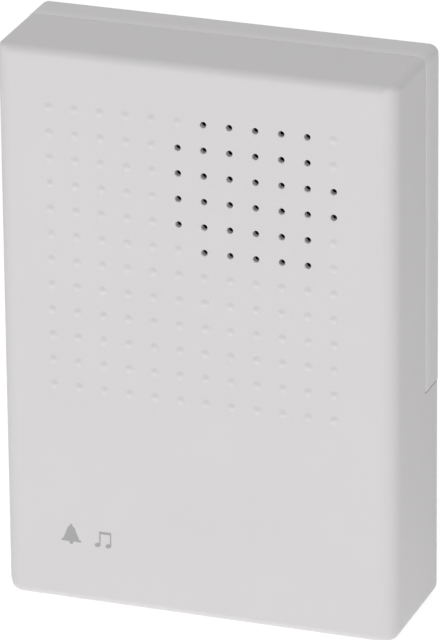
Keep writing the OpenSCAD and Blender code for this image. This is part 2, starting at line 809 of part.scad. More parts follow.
module upper_cell() {
    color([0.2, 0.2, 0.22]) translate([cell_end - cell_l, cell_y, upper_z]) cell();
}

module lower_cell() {
    color([0.2, 0.2, 0.22]) translate([cell_l - cell_end, cell_y, lower_z]) mirror([1, 0, 0]) cell();
}

// Flat contact on the right end wall, with a tab through the floor for its wire
module wall_contact(z) {
    block([tray_in_x - contact_t, cell_y - contact_w / 2, z - contact_h / 2],
        [tray_in_x, cell_y + contact_w / 2, z + contact_h / 2]);
    block([tray_in_x - contact_t, tray_floor_y - tray_wall - tab_out, z - tab_w / 2],
        [tray_in_x, cell_y, z + tab_w / 2]);
}

module positive_contact() {
    color(nickel) wall_contact(upper_z);
}

module negative_contact() {
    color(nickel) wall_contact(lower_z);
}

module series_link() {
    color(nickel) block([-tray_in_x, cell_y - contact_w / 2, lower_z - contact_h / 2],
        [-tray_in_x + contact_t, cell_y + contact_w / 2, upper_z + contact_h / 2]);
}

module contact_spring() {
    color(nickel) tube(spring_points, spring_wire, spring_sides);
}

module negative_spring() {
    translate([tray_in_x - contact_t, cell_y, lower_z]) rotate([0, 0, 180]) contact_spring();
}

module series_spring() {
    translate([-tray_in_x + contact_t, cell_y, upper_z]) contact_spring();
}

module positive_wire() {
    color([0.7, 0.08, 0.06]) tube(positive_route, wire_d, wire_sides);
}

module negative_wire() {
    color([0.06, 0.06, 0.06]) tube(negative_route, wire_d, wire_sides);
}

module speaker_wires() {
    color([0.85, 0.82, 0.75]) {
        tube(speaker_route_a, wire_d, wire_sides);
        tube(speaker_route_b, wire_d, wire_sides);
    }
}

// Collars of solder round the wire ends on the board
module solder_joints() {
    color(solder) for (z = pad_z) translate([pad_x, parts_y, z]) turned()
        polygon([[wire_d / 2 + thread_gap, 0], [solder_r, 0], [wire_d / 2 + 2 * thread_gap, solder_h],
            [wire_d / 2 + thread_gap, solder_h]]);
}

front_cover();
rear_shell();
battery_door();
case_screws();
speaker_gasket();
speaker_frame();
speaker_top_plate();
speaker_magnet();
speaker_yoke();
diaphragm();
voice_coil();
speaker_tag_board();
speaker_tags();
clamp_washers();
clamp_screws();
circuit_board();
board_screws();
melody_chip();
driver_transistor();
electrolytic_capacitor();
resistors();
ceramic_capacitors();
terminal_block();
terminal_screws();
upper_cell();
lower_cell();
positive_contact();
negative_contact();
series_link();
negative_spring();
series_spring();
positive_wire();
negative_wire();
speaker_wires();
solder_joints();
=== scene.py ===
from math import cos, pi, radians, sin

import bpy
from mathutils import Matrix, Vector


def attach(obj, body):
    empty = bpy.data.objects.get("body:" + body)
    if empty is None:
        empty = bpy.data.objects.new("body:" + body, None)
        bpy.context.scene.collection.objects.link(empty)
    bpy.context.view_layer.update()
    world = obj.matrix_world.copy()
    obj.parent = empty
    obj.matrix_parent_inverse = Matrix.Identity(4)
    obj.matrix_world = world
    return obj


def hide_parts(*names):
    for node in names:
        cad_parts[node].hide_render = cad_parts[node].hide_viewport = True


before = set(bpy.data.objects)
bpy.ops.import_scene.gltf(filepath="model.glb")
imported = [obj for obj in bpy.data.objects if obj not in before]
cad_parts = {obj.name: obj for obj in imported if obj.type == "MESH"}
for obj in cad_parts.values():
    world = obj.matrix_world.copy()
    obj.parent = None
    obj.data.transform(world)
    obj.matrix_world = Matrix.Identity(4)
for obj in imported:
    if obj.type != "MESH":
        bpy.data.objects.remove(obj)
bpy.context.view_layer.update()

# Front cover: the deep half of the case, one moulding of matt white ABS with soft front edges, which
# below the side seam reaches back to the wall. Pips, and open holes over the loudspeaker, dot its face.
# Inside it carries the screw bosses, the board posts and the ring that the loudspeaker sits in.
mm = 0.001
case_w, case_h, case_d, rear_d = 69, 98, 22, 6.7
front_wall, side_wall = 2, 1.8
edge_side_r, edge_end_r, corner_r, top_corner_r = 3, 1.5, 2.3, 1.4
back_edge_r, seam_edge_r = 0.5, 0.12
half_w, half_h = case_w / 2, case_h / 2
front_y, rim_y = -case_d, -rear_d
inner_y = front_y + front_wall
seam_z, seam_gap = 39.2 - half_h, 0.35
seam_low = seam_z - seam_gap / 2
in_x, in_z = half_w - side_wall, half_h - side_wall
dot_pitch, dot_count, dot_top, dot_shift = 4.45, 12, 10, -0.6
hole_d, hole_flare, sound_d, grille_t = 1.1, 0.07, 30.2, 1.2
pocket_d, pocket_over = 30.8, 0.5
pip_foot_d, pip_h, pip_step, pip_rings = 1.8, 0.29, 0.004, 7
speaker_at, speaker_d = (9.9, 28), 36
seat_ring_t, seat_h, fit_gap = 1.2, 1.05, 0.15
clamp_angles, clamp_out, clamp_boss_d, clamp_h = (135, 235, 320), 2.4, 3.8, 1.2
board_holes, board_post_d, post_h = ((-27.1, 35.6), (-10.9, 12.9)), 4.4, 4
case_screws = [(x, z) for x in (-29, 29) for z in (43.5, -4)]
case_boss_d, case_post_y, case_pilot_d, case_tip_y = 6, -8.5, 2.5, -15.6
small_pilot_d, board_pilot_up, clamp_pilot_in = 2.1, 1.3, 0.9
# How far a tool runs over a face, how near to a plane an edge has to lie, from what length an edge is
# long, and from what share of its normal a face looks along an axis.
over, tight, loose, long_edge, facing = 1, 0.001, 0.01, 1, 0.9
wide_sides, hole_sides, dot_sides = 96, 32, 24
white_plastic = (0.735, 0.72, 0.7275, 1)


def alone(piece):
    """Leaves one piece selected, and active."""
    bpy.ops.object.select_all(action="DESELECT")
    piece.select_set(True)
    bpy.context.view_layer.objects.active = piece


def named(name):
    """Puts the new shape's place and size into its mesh and names it."""
    bpy.ops.object.transform_apply(location=True, rotation=True, scale=True)
    bpy.context.object.name = name
    return bpy.context.object


def block(low, high, name="block"):
    """Box between two corners, in millimetres."""
    bpy.ops.object.select_all(action="DESELECT")
    middle = [mm * (a + b) / 2 for a, b in zip(low, high)]
    bpy.ops.mesh.primitive_cube_add(size=1, location=middle, scale=[mm * (b - a) for a, b in zip(low, high)])
    return named(name)


def rod(x, z, d, y0, y1, sides=48, name="rod"):
    """Round bar along Y, in millimetres."""
    bpy.ops.object.select_all(action="DESELECT")
    bpy.ops.mesh.primitive_cylinder_add(
        vertices=sides, radius=mm * d / 2, depth=mm * (y1 - y0),
        location=(mm * x, mm * (y0 + y1) / 2, mm * z), rotation=(pi / 2, 0, 0))
    return named(name)


def copies(one, places):
    """One mesh of a shape repeated at places (x, z) in millimetres."""
    row = []
    for x, z in places:
        copy = one.copy()
        copy.data = one.data.copy()
        copy.data.transform(Matrix.Translation((mm * x, 0, mm * z)))
        bpy.context.collection.objects.link(copy)
        row.append(copy)
    bpy.data.objects.remove(one)
    alone(row[0])
    for copy in row:
        copy.select_set(True)
    bpy.ops.object.join()
    return bpy.context.object


def applied(piece, kind, **settings):
    """Adds a modifier to a piece and applies it."""
    modifier = piece.modifiers.new(kind.lower(), kind)
    for key, value in settings.items():
        setattr(modifier, key, value)
    alone(piece)
    bpy.ops.object.modifier_apply(modifier=modifier.name)


def cut(piece, *tools):
    """Takes the tools away from a piece."""
    for tool in tools:
        applied(piece, "BOOLEAN", operation="DIFFERENCE", object=tool, solver="EXACT")
        bpy.data.objects.remove(tool)


def add(piece, *tools):
    """Joins the tools to a piece."""
    for tool in tools:
        applied(piece, "BOOLEAN", operation="UNION", object=tool, solver="EXACT")
        bpy.data.objects.remove(tool)


def pick(piece, kind, wanted):
    """Opens a piece for editing with only those of its edges or faces selected that pass the test."""
    alone(piece)
    bpy.ops.object.mode_set(mode="EDIT")
    bpy.ops.mesh.select_mode(type=kind)
    bpy.ops.mesh.select_all(action="DESELECT")
    bpy.ops.object.mode_set(mode="OBJECT")
    for part in piece.data.edges if kind == "EDGE" else piece.data.polygons:
        part.select = wanted(part)
    bpy.ops.object.mode_set(mode="EDIT")


def round_off(piece, radius, wanted, steps=4):
    """Rounds the edges whose ends, in millimetres, pass the test."""
    pick(piece, "EDGE", lambda edge: wanted(*(piece.data.vertices[i].co / mm for i in edge.vertices)))
    bpy.ops.mesh.bevel(offset=mm * radius, segments=steps, affect="EDGES", clamp_overlap=True)
    bpy.ops.object.mode_set(mode="OBJECT")


def on_back(a, b):
    """True for an edge that lies in the back face."""
    return abs(a.y) < tight and abs(b.y) < tight


def finish_off(piece, material, body, slot, *nodes):
    """Shades a piece, gives it its material and puts it on its body in place of its CAD nodes."""
    alone(piece)
    bpy.ops.object.shade_smooth_by_angle(angle=radians(32))
    applied(piece, "WEIGHTED_NORMAL", keep_sharp=True, weight=90)
    piece.data.materials.clear()
    piece.data.materials.append(material)
    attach(piece, body)
    if nodes:
        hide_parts(*nodes)


def surface(name, colour, roughness, metallic=0.0):
    """New material, with its shader and the functions that add a node and a link to it."""
    material = bpy.data.materials.new(name)
    material.use_nodes = True
    tree = material.node_tree
    shader = tree.nodes["Principled BSDF"]
    shader.inputs["Base Color"].default_value = colour
    shader.inputs["Roughness"].default_value = roughness
    shader.inputs["Metallic"].default_value = metallic

    def node(kind, links=(), **settings):
        new = tree.nodes.new(kind)
        for key, value in settings.items():
            if key in new.inputs:
                new.inputs[key].default_value = value
            else:
                setattr(new, key, value)
        for socket, source in links:
            tree.links.new(source, new.inputs[socket])
        return new

    return material, shader, node, tree.links.new


def grained(name, colour, roughness, grain, depth, spread, drift=0.05, metallic=0.0, shine=0.5):
    """Material with a fine grain in its relief, a slow drift of tone and an uneven gloss."""
    material, shader, node, link = surface(name, colour, roughness, metallic)
    shader.inputs["Specular IOR Level"].default_value = shine
    place = node("ShaderNodeTexCoord").outputs["Object"]
    fine = node("ShaderNodeTexNoise", [("Vector", place)], Scale=grain, Detail=3.0)
    slow = node("ShaderNodeTexNoise", [("Vector", place)], Scale=70.0, Detail=4.0)
    tone = node("ShaderNodeValToRGB", [("Fac", slow.outputs["Fac"])])
    for stop, position, share in zip(tone.color_ramp.elements, (0.3, 0.7), (1 - spread, 1 + spread)):
        stop.position = position
        stop.color = [min(1, c * share) for c in colour[:3]] + [1]
    gloss = node("ShaderNodeMapRange", [("Value", fine.outputs["Fac"])])
    gloss.inputs["To Min"].default_value = roughness - drift
    gloss.inputs["To Max"].default_value = roughness + drift
    bump = node("ShaderNodeBump", [("Height", fine.outputs["Fac"])], Strength=1.0, Distance=mm * depth)
    link(tone.outputs["Color"], shader.inputs["Base Color"])
    link(gloss.outputs["Result"], shader.inputs["Roughness"])
    link(bump.outputs["Normal"], shader.inputs["Normal"])
    return material


white_abs = grained("white_abs", white_plastic, 0.5, grain=3200, depth=0.004, spread=0.006, shine=0.05)

front_cover = block((-half_w, front_y, -half_h), (half_w, 0, half_h), "front_cover_shell")
edge_share = front_cover.data.attributes.new("bevel_weight_edge", "FLOAT", "EDGE")
for edge in front_cover.data.edges:
    a, b = (front_cover.data.vertices[i].co / mm for i in edge.vertices)
    run = max(range(3), key=lambda k: abs(a[k] - b[k]))
    at_front = (a.y + b.y) / 2 < front_y + loose
    radius = 0
    if run == 1:
        radius = top_corner_r if a.z > 0 else corner_r
    elif at_front:
        radius = edge_side_r if run == 2 else edge_end_r
    edge_share.data[edge.index].value = radius / edge_side_r
applied(front_cover, "BEVEL", limit_method="WEIGHT", width=mm * edge_side_r, segments=8)
round_off(front_cover, back_edge_r, on_back)
cut(front_cover, block((-half_w - over, rim_y, seam_low), (half_w + over, over, half_h + over)))
cut(front_cover, block((-in_x, inner_y, -in_z), (in_x, over, in_z)))
round_off(front_cover, seam_edge_r, lambda a, b: min(a.z, b.z) > seam_low - tight
          and max(a.z, b.z) < seam_low + tight and min(abs(a.x), abs(b.x)) > half_w - tight
          and abs(a.y - b.y) > long_edge, steps=2)

sx, sz = speaker_at
clamp_r = speaker_d / 2 + clamp_out
clamps = [(sx + clamp_r * cos(radians(a)), sz + clamp_r * sin(radians(a))) for a in clamp_angles]
add(front_cover, copies(rod(0, 0, case_boss_d, inner_y - over, case_post_y), case_screws))
add(front_cover, copies(rod(0, 0, board_post_d, inner_y - over, inner_y + post_h), board_holes))
seat = rod(sx, sz, speaker_d + 2 * (fit_gap + seat_ring_t), inner_y - over, inner_y + seat_h, wide_sides)
cut(seat, rod(sx, sz, speaker_d + 2 * fit_gap, inner_y, inner_y + seat_h + over, wide_sides))
add(front_cover, seat)
add(front_cover, copies(rod(0, 0, clamp_boss_d, inner_y - over, inner_y + clamp_h), clamps))
cut(front_cover, rod(sx, sz, pocket_d, front_y + grille_t, inner_y + pocket_over, wide_sides))
cut(front_cover, copies(rod(0, 0, case_pilot_d, case_tip_y, case_post_y + over, hole_sides), case_screws))
board_pilot = rod(0, 0, small_pilot_d, inner_y + board_pilot_up, inner_y + post_h + over, hole_sides)
cut(front_cover, copies(board_pilot, board_holes))
clamp_pilot = rod(0, 0, small_pilot_d, inner_y - clamp_pilot_in, inner_y + clamp_h + over, hole_sides)
cut(front_cover, copies(clamp_pilot, clamps))

dots = [(dot_shift + (i - (dot_count - 1) / 2) * dot_pitch, half_h - dot_top - j * dot_pitch)
        for i in range(dot_count) for j in range(dot_count)]
holes = [p for p in dots if Vector((p[0] - sx, p[1] - sz)).length < sound_d / 2]
drill = rod(0, 0, hole_d, front_y + hole_flare, inner_y + over, dot_sides)
pick(drill, "FACE", lambda face: face.normal.y < -facing)
bpy.ops.mesh.extrude_region_move(TRANSFORM_OT_translate={"value": (0, -mm * hole_flare, 0)})
flare = 1 + 2 * hole_flare / hole_d
bpy.ops.transform.resize(value=(flare, 1, flare))
bpy.ops.mesh.extrude_region_move(TRANSFORM_OT_translate={"value": (0, -mm * over, 0)})
bpy.ops.object.mode_set(mode="OBJECT")
cut(front_cover, copies(drill, holes))

pip = rod(0, 0, pip_foot_d, front_y - pip_step, front_y + front_wall / 2, dot_sides, "pip")
pick(pip, "FACE", lambda face: face.normal.y < -facing)
for ring in range(pip_rings):  # a bell-shaped profile, steepest half way up
    low, high = (0.5 - 0.5 * cos(pi * step / (pip_rings + 0.5)) for step in (ring, ring + 1))
    rise = mm * (pip_h - pip_step) * (high - low)
    bpy.ops.mesh.extrude_region_move(TRANSFORM_OT_translate={"value": (0, -rise, 0)})
    share = (pip_rings - ring - 0.5) / (pip_rings - ring + 0.5)
    bpy.ops.transform.resize(value=(share, 1, share))
bpy.ops.object.mode_set(mode="OBJECT")
add(front_cover, copies(pip, [p for p in dots if p not in holes]))
finish_off(front_cover, white_abs, "case", "white_abs", "front_cover")

# Loudspeaker: a pressed steel basket round a ferrite ring magnet between two steel pole plates.
# Its dark paper cone carries the copper coil in the gap, and a foam ring seals its rim to the cover.
# Three screws with washers hold the rim down.
gasket_t, gasket_edge_r, rim_w = 0.6, 0.15, 2.4
zinc_tone, nickel_tone = (0.62, 0.63, 0.61, 1), (0.72, 0.7, 0.64, 1)


def coat(material, *nodes):
    """Gives CAD nodes their finish."""
    for name in nodes:
        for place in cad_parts[name].material_slots:
            place.material = material


def along_y(a, b):
    """True for an edge of the plan's corners, which runs along Y."""
    return abs(a.x - b.x) < loose and abs(a.z - b.z) < loose


zinc_steel = grained("zinc_steel", zinc_tone, 0.36, grain=1100, depth=0.003, spread=0.06, drift=0.08,
                     metallic=1.0)
nickel_plate = grained("nickel_plate", nickel_tone, 0.25, grain=1500, depth=0.002, spread=0.04, metallic=1.0)
ferrite = grained("ferrite", (0.035, 0.035, 0.038, 1), 0.62, grain=1800, depth=0.02, spread=0.15)
cone_paper = grained("cone_paper", (0.03, 0.028, 0.026, 1), 0.85, grain=1400, depth=0.03, spread=0.2)
copper_wire = grained("copper_wire", (0.75, 0.33, 0.14, 1), 0.3, grain=5000, depth=0.02, spread=0.08,
                      metallic=1.0)
phenolic = grained("phenolic_board", (0.3, 0.14, 0.045, 1), 0.45, grain=700, depth=0.006, spread=0.14)
coat(zinc_steel, "speaker_frame", "speaker_top_plate", "speaker_yoke", "clamp_washers", "clamp_screws",
     "board_screws")
coat(ferrite, "speaker_magnet")
coat(cone_paper, "diaphragm")
coat(copper_wire, "voice_coil")
coat(phenolic, "speaker_tag_board", "circuit_board")
coat(nickel_plate, "speaker_tags")

gasket = rod(sx, sz, speaker_d, inner_y, inner_y + gasket_t, wide_sides, "gasket_ring")
round_off(gasket, gasket_edge_r, lambda a, b: not along_y(a, b), steps=3)
cut(gasket, rod(sx, sz, speaker_d - 2 * rim_w, inner_y - over, inner_y + gasket_t + over, wide_sides))
foam = grained("foam_gasket", (0.02, 0.02, 0.02, 1), 0.9, grain=3500, depth=0.08, spread=0.3)
finish_off(gasket, foam, "case", "foam_gasket", "speaker_gasket")

# Melody board: a brown phenolic board on two posts, with a resin-covered melody chip, a transistor,
# a small can capacitor, two resistors, two ceramic discs and a green screw terminal for the bell push.
resin = grained("black_resin", (0.012, 0.012, 0.013, 1), 0.3, grain=500, depth=0.02, spread=0.2)
sleeve = grained("capacitor_sleeve", (0.02, 0.03, 0.1, 1), 0.32, grain=900, depth=0.004, spread=0.1)
beige = grained("resistor_coat", (0.5, 0.33, 0.14, 1), 0.4, grain=800, depth=0.01, spread=0.18)
amber = grained("ceramic_coat", (0.48, 0.17, 0.03, 1), 0.28, grain=900, depth=0.015, spread=0.15)
green = grained("terminal_plastic", (0.02, 0.15, 0.06, 1), 0.42, grain=2400, depth=0.006, spread=0.05)
coat(resin, "melody_chip", "driver_transistor")
coat(sleeve, "electrolytic_capacitor")
coat(beige, "resistors")
coat(amber, "ceramic_capacitors")
coat(green, "terminal_block")
coat(nickel_plate, "terminal_screws")

# Wires: soft stranded leads in red, black and pale grey, from the cell contacts and the loudspeaker
# to the board, each soldered at its ends.
wire_d, under_y, pad_x, board_face_y = 1.1, -19.275, -10, -14.4


def smooth_route(points, steps=6):
    """Points on a soft curve through the given ones."""
    ends = [points[0]] + points + [points[-1]]
    route = []
    for before, a, b, after in zip(ends, ends[1:], ends[2:], ends[3:]):
        for k in range(steps):
            t = k / steps
            weights = ((-t + 2 * t ** 2 - t ** 3) / 2, (2 - 5 * t ** 2 + 3 * t ** 3) / 2,
                       (t + 4 * t ** 2 - 3 * t ** 3) / 2, (t ** 3 - t ** 2) / 2)
            route.append(sum((w * Vector(p) for w, p in zip(weights, (before, a, b, after))), Vector()))
    return route + [Vector(points[-1])]


def round_wire(name, points, d):
    """Round wire of one diameter along points in millimetres, as a mesh."""
    line = bpy.data.curves.new(name, "CURVE")
    line.dimensions = "3D"
    line.bevel_depth = mm * d / 2
    line.bevel_resolution = 3
    line.use_fill_caps = True
    spline = line.splines.new("POLY")
    spline.points.add(len(points) - 1)
    for knot, point in zip(spline.points, points):
        knot.co = (*(mm * c for c in point), 1)
    bpy.context.collection.objects.link(bpy.data.objects.new(name, line))
    alone(bpy.data.objects[name])
    bpy.ops.object.convert(target="MESH")
    return bpy.context.object


red_lead = grained("red_insulation", (0.42, 0.012, 0.008, 1), 0.38, grain=1500, depth=0.004, spread=0.05)
black_lead = grained("black_insulation", (0.012, 0.012, 0.012, 1), 0.38, grain=1500, depth=0.004, spread=0.1)
grey_lead = grained("grey_insulation", (0.6, 0.57, 0.5, 1), 0.4, grain=1500, depth=0.004, spread=0.04)
red_wire = round_wire("red_wire", smooth_route([
    (27.05, under_y, -21.7), (27, under_y, -17), (26.8, under_y, -11.6), (26, -17.8, -9.8), (24, -14.8, -9),
    (16, -12.8, -8), (6, -12.2, -6), (-3, -11.6, 0), (-7.8, -11, 8), (-9.8, -11, 15), (pad_x, -12, 17),
    (pad_x, board_face_y, 17)]), wire_d)
finish_off(red_wire, red_lead, "case", "red_insulation", "positive_wire")
black_wire = round_wire("black_wire", smooth_route([
    (27.05, under_y, -36.9), (26.6, under_y, -33), (24.8, under_y, -28), (24.6, under_y, -16),
    (24.4, under_y, -11.6), (23, -18, -9.8), (20, -16, -7.6), (12, -14.9, -5), (2, -14, -1), (-4, -12.8, 5),
    (-7, -11.2, 13), (-9, -11, 18.6), (pad_x, -12, 20.5), (pad_x, board_face_y, 20.5)]), wire_d)
finish_off(black_wire, black_lead, "case", "black_insulation", "negative_wire")
upper_lead = round_wire("speaker_lead_upper", smooth_route([
    (pad_x, board_face_y, 32), (pad_x, -12, 32), (-9.4, -10.8, 31.7), (-7.6, -10.4, 30.7), (-6, -10.8, 30),
    (-4.4, -11, 30)]), wire_d)
lower_lead = round_wire("speaker_lead_lower", smooth_route([
    (pad_x, board_face_y, 24.5), (pad_x, -12, 24.5), (-9.4, -10.8, 24.8), (-7.6, -10.4, 25.4),
    (-6, -10.8, 26), (-4.4, -11, 26)]), wire_d)
finish_off(upper_lead, grey_lead, "case", "grey_insulation", "speaker_wires")
finish_off(lower_lead, grey_lead, "case", "grey_insulation", "speaker_wires")
solder = grained("solder", (0.55, 0.55, 0.56, 1), 0.22, grain=700, depth=0.01, spread=0.08, metallic=1.0)
coat(solder, "solder_joints")

# Rear shell: the shallow half that hangs on the wall, of a slightly paler white ABS, with a painted highlight
# along its rim.
# It has two keyholes, a window for the bell-push wires, four sunk screws and the tray for the cells,
# and its lip lines it up inside the cover.
rear_proud, rear_corner_r, small_edge_r, rim_edge_r = 0.1, 1.6, 0.15, 0.09
back_wall, lip_d, lip_t = 2, 1.6, 1
back_in_y = -back_wall
shell_x, shell_z, shell_low = half_w + rear_proud, half_h + rear_proud, seam_z + seam_gap / 2
lip_x, lip_z, lip_root = in_x - fit_gap, in_z - fit_gap, side_wall / 2
post_d, bore_d, bore_y, screw_hole_d = 6.8, 5.4, -3.6, 2.8
key_span, key_z, key_d, key_slot, key_rise = 36, 37, 7.6, 3.8, 5
window_at, window_w, window_h = (-21, 15.9), 13, 10.6
tray_in_x, tray_wall, tray_back_y, tray_floor_y = 28.05, 1, -2.3, -17.55
tray_z0, tray_z1, lower_z, upper_z = -44.6, -14, -36.9, -21.7
ledge_t, tongue_x, tongue_w, tongue_t, top_tongue_z, move_gap = 1.7, 20, 10, 1, seam_low - 1.5, 0.3
tray_x = tray_in_x + tray_wall
ledge_y, ledge_z = tray_back_y - ledge_t, shell_low + ledge_t
tab_w, contact_t = 3, 0.4
cell_rib_w, cell_rib_h, cell_rib_in = 2, 2.4, 3
root_in, apart, inset, slot_over, through, tray_corner_r, border = 0.1, 0.1, 0.05, 0.25, 9, 0.3, 1.5
# The rim colour and its fade length are a painted highlight along the edge that meets the cover.
shell_white, rim_highlight_white, rim_highlight_fade = (0.758, 0.743, 0.751, 1), (0.81, 0.795, 0.803, 1), 3

rear_shell = block((-shell_x, rim_y, shell_low), (shell_x, 0, shell_z), "rear_shell_body")
round_off(rear_shell, rear_corner_r, lambda a, b: along_y(a, b) and a.z > 0, steps=6)
round_off(rear_shell, back_edge_r, lambda a, b: on_back(a, b) and max(a.z, b.z) > shell_low + loose)
round_off(rear_shell, rim_edge_r, lambda a, b: max(a.y, b.y) < rim_y + tight
          and max(a.z, b.z) > shell_low + loose, steps=3)
round_off(rear_shell, seam_edge_r, lambda a, b: max(a.z, b.z) < shell_low + tight
          and abs(a.y - b.y) > long_edge, steps=2)
cut(rear_shell, block((-in_x, rim_y - over, shell_low - over), (in_x, back_in_y, in_z)))
lip = block((-lip_x, rim_y - lip_d, shell_low), (lip_x, rim_y + lip_d, lip_z))
add(lip, block((-in_x - lip_root, rim_y + 2 * root_in, shell_low + root_in),
               (in_x + lip_root, rim_y + lip_d - root_in, in_z + lip_root)))
cut(lip, block((lip_t - lip_x, rim_y - through, shell_low - over),
               (lip_x - lip_t, rim_y + through, lip_z - lip_t)))
add(rear_shell, lip, copies(rod(0, 0, post_d, case_post_y, back_in_y + over), case_screws))
add(rear_shell, block((-tray_x, ledge_y, tray_z1), (tray_x, tray_back_y, ledge_z)))
add(rear_shell, block((-tray_x + inset, ledge_y + inset, shell_low + inset),
                      (tray_x - inset, back_in_y + over, ledge_z - inset)))
tray = block((-tray_x, tray_floor_y - tray_wall, tray_z0 - tray_wall),
             (tray_x, tray_back_y, tray_z1 + tray_wall))
cut(tray, block((-tray_in_x, tray_floor_y, tray_z0), (tray_in_x, over, tray_z1)))
round_off(tray, tray_corner_r, lambda a, b: along_y(a, b) and abs(a.x) > tray_x - loose, steps=3)
rib_z = (lower_z + upper_z) / 2
add(tray, block((cell_rib_in - tray_in_x, tray_floor_y - tray_wall / 2, rib_z - cell_rib_w / 2),
                (tray_in_x - cell_rib_in, tray_floor_y + cell_rib_h, rib_z + cell_rib_w / 2)))
for z in (lower_z, upper_z):
    cut(tray, block((tray_in_x - contact_t - fit_gap, tray_floor_y - 2 * over, z - tab_w / 2 - fit_gap),
                    (tray_in_x + fit_gap, tray_floor_y + over, z + tab_w / 2 + fit_gap)))
add(rear_shell, tray)
cut(rear_shell, copies(rod(0, 0, screw_hole_d, case_post_y - over, over, hole_sides), case_screws))
cut(rear_shell, copies(rod(0, 0, bore_d, bore_y, over), case_screws))
for x in (-key_span / 2, key_span / 2):
    slot_top = key_z + key_d / 2 + key_rise - key_slot / 2
    keyhole = rod(x, key_z, key_d, back_in_y - over, over)
    add(keyhole, block((x - key_slot / 2, back_in_y - over - apart, key_z),
                       (x + key_slot / 2, over + apart, slot_top)))
    add(keyhole, rod(x, slot_top, key_slot, back_in_y - over - 2 * apart, over + 2 * apart, hole_sides))
    cut(rear_shell, keyhole)
for x in (-tongue_x, tongue_x):
    cut(rear_shell, block((x - tongue_w / 2 - move_gap, ledge_y - over, top_tongue_z - move_gap),
                          (x + tongue_w / 2 + move_gap, tray_back_y + slot_over,
                           top_tongue_z + tongue_t + move_gap)))
wx, wz = window_at
cut(rear_shell, block((wx - window_w / 2, back_in_y - over, wz - window_h / 2),
                      (wx + window_w / 2, over, wz + window_h / 2)))
round_off(rear_shell, small_edge_r, lambda a, b: on_back(a, b) and max(a.z, b.z) < half_h - border
          and max(abs(a.x), abs(b.x)) < half_w - border and min(a.z, b.z) > shell_low + loose, steps=2)


def paint_rim_highlight(material):
    """Paints a highlight into a plastic's colour: a paler white toward the rim that meets the cover."""
    tree = material.node_tree
    base = tree.nodes["Principled BSDF"].inputs["Base Color"]
    place = tree.nodes.new("ShaderNodeSeparateXYZ")
    highlight_mask = tree.nodes.new("ShaderNodeMapRange")
    highlight_mask.interpolation_type = "SMOOTHSTEP"
    highlight_mask.inputs["From Min"].default_value = mm * (rim_y + rim_highlight_fade)
    highlight_mask.inputs["From Max"].default_value = mm * rim_y
    highlight_mix = tree.nodes.new("ShaderNodeMixRGB")
    highlight_mix.inputs["Color2"].default_value = rim_highlight_white
    for source, socket in ((tree.nodes["Texture Coordinate"].outputs["Object"], place.inputs["Vector"]),
                           (place.outputs["Y"], highlight_mask.inputs["Value"]),
                           (highlight_mask.outputs["Result"], highlight_mix.inputs["Fac"]),
                           (base.links[0].from_socket, highlight_mix.inputs["Color1"]),
                           (highlight_mix.outputs["Color"], base)):
        tree.links.new(source, socket)
    return material


# The shell's material carries the painted highlight, paler toward the rim.
shell_abs_rim_highlight = paint_rim_highlight(grained("shell_abs_rim_highlight", shell_white, 0.5, grain=3200, depth=0.004, spread=0.006,
                                shine=0.05))
finish_off(rear_shell, shell_abs_rim_highlight, "case", "white_abs", "rear_shell")

# Cells: two round cells side by side and head to tail in the tray, in plain two-tone jackets with
# bare steel ends, between nickel-plated contact plates. A tapered wire spring presses on each flat end.
cell_l, nub_l, cell_y, cell_end = 50.5, 1.4, -10.15, 27.55
jacket_dark, jacket_pale, band_l = (0.03, 0.032, 0.038, 1), (0.55, 0.56, 0.57, 1), 13
line_tone, line_w = (0.4, 0.4, 0.4, 1), 0.5
spring_l, spring_wire, spring_turns, spring_wide, spring_narrow = 4.6, 0.7, 3, 4.2, 2.7
jacket_in, turn_steps = 0.4, 20


def jacket(name, side):
    """Two-tone printed sleeve with bare steel at both ends; the pale band is at the nub, on that side."""
    material, shader, node, link = surface(name, jacket_dark, 0.32)
    place = node("ShaderNodeTexCoord").outputs["Object"]
    apart = node("ShaderNodeSeparateXYZ", [("Vector", place)])
    along = node("ShaderNodeMapRange", [("Value", apart.outputs["X"])])
    along.inputs["From Min"].default_value = side * mm * (cell_end - cell_l)
    along.inputs["From Max"].default_value = side * mm * cell_end
    band = node("ShaderNodeValToRGB", [("Fac", along.outputs["Result"])])
    bare = node("ShaderNodeValToRGB", [("Fac", along.outputs["Result"])])
    grain = node("ShaderNodeTexNoise", [("Vector", place)], Scale=1200.0, Detail=3.0)
    relief = node("ShaderNodeBump", [("Height", grain.outputs["Fac"])], Strength=1.0, Distance=mm * 0.003)
    sleeve_end = 1 - (nub_l + jacket_in) / cell_l
    colours = ((0, zinc_tone), (jacket_in / cell_l, jacket_dark),
               (1 - (band_l + line_w) / cell_l, line_tone), (1 - band_l / cell_l, jacket_pale),
               (sleeve_end, zinc_tone))
    metal = ((0, (1, 1, 1, 1)), (jacket_in / cell_l, (0, 0, 0, 1)), (sleeve_end, (1, 1, 1, 1)))
    for ramp, stops in ((band.color_ramp, colours), (bare.color_ramp, metal)):
        ramp.interpolation = "CONSTANT"
        while len(ramp.elements) < len(stops):
            ramp.elements.new(0.5)
        for stop, (position, colour) in zip(ramp.elements, stops):
            stop.position = position
            stop.color = colour
    link(band.outputs["Color"], shader.inputs["Base Color"])
    link(bare.outputs["Color"], shader.inputs["Metallic"])
    link(relief.outputs["Normal"], shader.inputs["Normal"])
    return material


